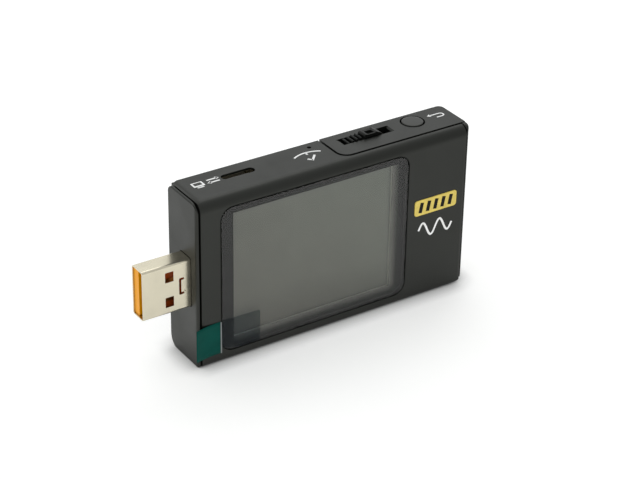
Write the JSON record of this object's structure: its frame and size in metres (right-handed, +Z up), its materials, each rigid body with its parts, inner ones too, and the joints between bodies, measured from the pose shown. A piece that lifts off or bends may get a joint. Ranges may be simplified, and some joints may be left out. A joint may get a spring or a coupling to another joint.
{
  "type": "usb power meter",
  "caption": "In-line meter box with an inset display, a plug on one end, sockets on the other, and a jog lever and button on top.",
  "frame": {"origin": "centre of the bottom face that the meter stands on", "axes": "+X from the plug end to the socket end, +Y from the display to the back, +Z up towards the jog lever and button"},
  "size_m": [0.0827, 0.0131, 0.0412],
  "materials": {
    "shell_black": "fine matte moulded texture",
    "control_black": "satin moulded",
    "plug_silver": "nickel plated, folded sheet",
    "tongue_orange": "moulded",
    "contact_gold": "gold plated",
    "board_green": "solder mask",
    "chip_black": "moulded epoxy",
    "display_grey": "matte polariser",
    "display_glass": "clear",
    "film_clear": "thin clear film",
    "mask_black": "printed",
    "foam_black": "closed-cell foam",
    "steel": "plated",
    "white_plastic": "moulded",
    "amber_film": "polyimide",
    "badge_yellow": "satin plate",
    "tab_green": "thin coloured film",
    "patch_blue": "thin tinted film"
  },
  "bodies": {
    "root": {"adc_chip": "chip_black", "back_switch_body": "steel", "bulk_capacitor": "amber_film", "case_screw_1": "steel", "case_screw_2": "steel", "case_screw_3": "steel", "case_screw_4": "steel", "crystal_can": "steel", "display_window": "display_glass", "film_patch": "patch_blue", "film_pull_tab": "tab_green", "foam_gasket": "foam_black", "front_badge": "badge_yellow", "front_shell": "shell_black", "jog_switch_body": "chip_black", "lcd_backlight_frame": "white_plastic", "lcd_flex_cable": "amber_film", "lcd_glass": "display_glass", "lcd_polariser": "display_grey", "main_board": "board_green", "mcu_chip": "chip_black", "memory_chip": "chip_black", "output_mosfet": "chip_black", "pc_port_shell": "plug_silver", "pc_port_tongue": "chip_black", "plug_contact_1": "contact_gold", "plug_contact_2": "contact_gold", "plug_contact_3": "contact_gold", "plug_contact_4": "contact_gold", "plug_tongue": "tongue_orange", "protective_film": "film_clear", "rear_shell": "shell_black", "regulator_coil": "chip_black", "reset_switch_body": "steel", "shunt_resistor": "chip_black", "socket_contact_1": "contact_gold", "socket_contact_2": "contact_gold", "socket_contact_3": "contact_gold", "socket_contact_4": "contact_gold", "socket_tongue": "tongue_orange", "usb_a_plug_shell": "plug_silver", "usb_a_socket_shell": "plug_silver", "usb_c_socket_shell": "plug_silver", "usb_c_tongue": "chip_black", "window_mask": "mask_black"},
    "jog_carrier": {"jog_carrier": "steel", "jog_axle_pin": "steel"},
    "jog_wheel": {"jog_wheel": "control_black"},
    "back_button": {"back_button": "control_black"},
    "back_switch_stem": {"back_switch_stem": "chip_black"},
    "reset_plunger": {"reset_plunger": "white_plastic"}
  },
  "joints": [
    {"name": "jog_press", "type": "slide", "parent": "root", "child": "jog_carrier", "axis": [0, 0, -1], "range_m": [0, 0.0005], "stiffness_N_per_m": 30, "springref_m": -0.002},
    {"name": "jog_rock", "type": "hinge", "parent": "jog_carrier", "child": "jog_wheel", "pos_m": [0.01247, 0.00243, 0.0357], "axis": [0, 1, 0], "range_deg": [-8, 8], "stiffness_Nm_per_rad": 0.0003},
    {"name": "back_button_press", "type": "slide", "parent": "root", "child": "back_button", "axis": [0, 0, -1], "range_m": [0, 0.00035], "stiffness_N_per_m": 20, "springref_m": -0.002},
    {"name": "back_stem_press", "type": "slide", "parent": "root", "child": "back_switch_stem", "axis": [0, 0, -1], "range_m": [0, 0.00035]},
    {"name": "reset_press", "type": "slide", "parent": "root", "child": "reset_plunger", "axis": [0, 0, -1], "range_m": [0, 0.00025], "stiffness_N_per_m": 5, "springref_m": -0.002}
  ],
  "couplings": [
    {"joint": "back_stem_press", "follows": "back_button_press", "ratio": 1}
  ]
}
